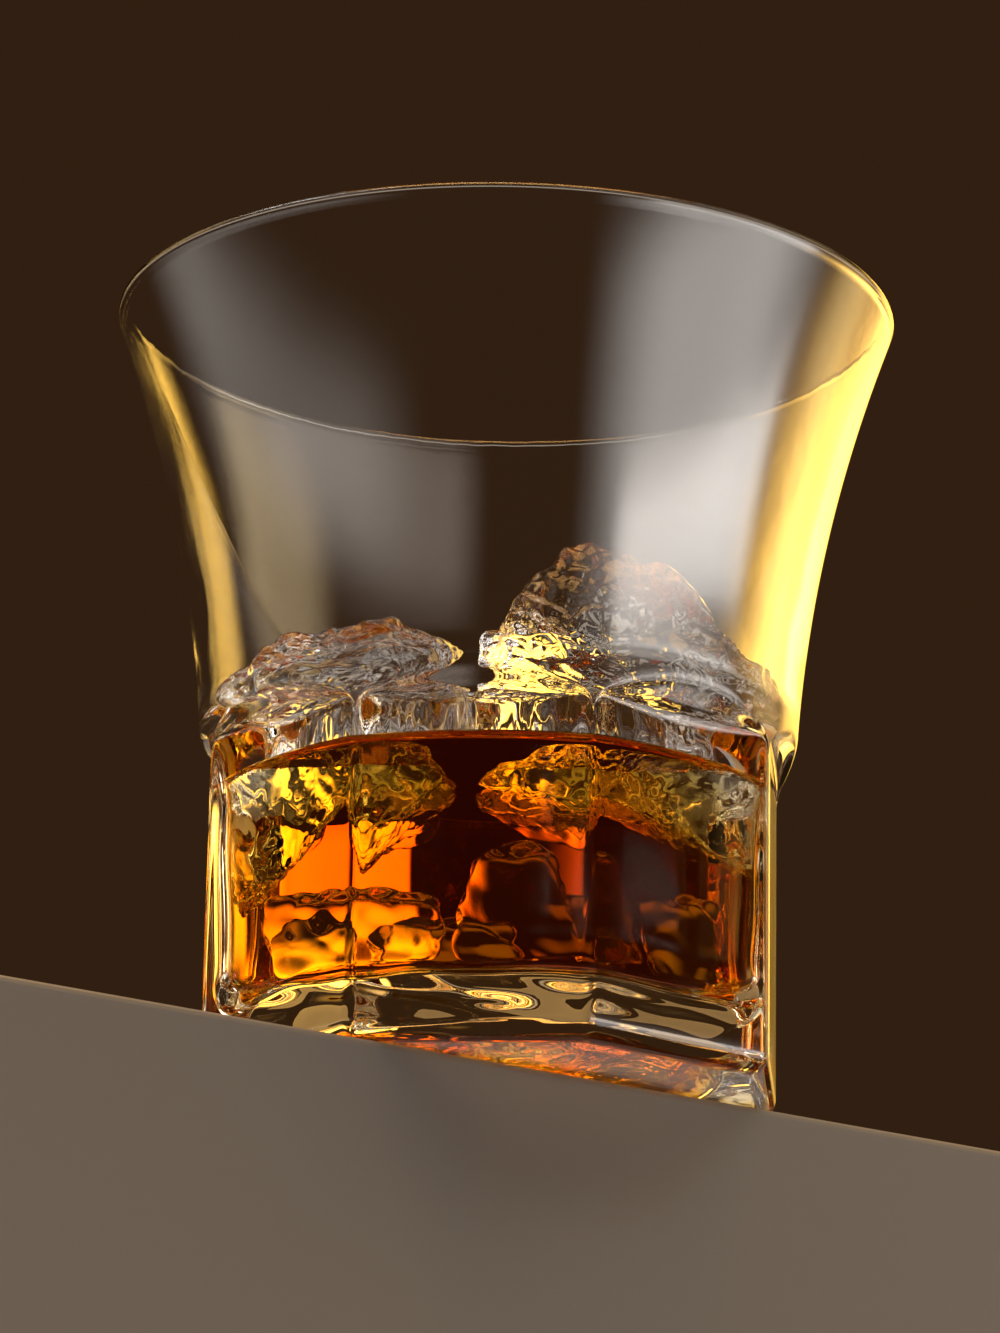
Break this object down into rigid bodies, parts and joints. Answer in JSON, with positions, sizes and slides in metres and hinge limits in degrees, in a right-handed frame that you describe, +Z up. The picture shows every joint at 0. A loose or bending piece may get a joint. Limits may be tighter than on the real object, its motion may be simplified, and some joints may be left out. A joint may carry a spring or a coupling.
{
  "type": "whisky on the rocks",
  "caption": "Flared tumbler on a heavy panelled foot, part filled with amber whisky around lumps of broken ice.",
  "frame": {"origin": "centre of the tumbler's flat underside", "axes": "+Z up through the mouth, a flat panel of the foot faces -Y, the tall ice lump is on the +X side"},
  "size_m": [0.0902, 0.0902, 0.0921],
  "materials": {
    "clear_glass": "fire-polished clear glass",
    "whisky": "clear amber liquid",
    "ice": "wet clear broken ice"
  },
  "bodies": {
    "root": {"tumbler": "clear_glass", "whisky": "whisky", "ice_peak": "ice", "ice_block": "ice"}
  },
  "joints": []
}
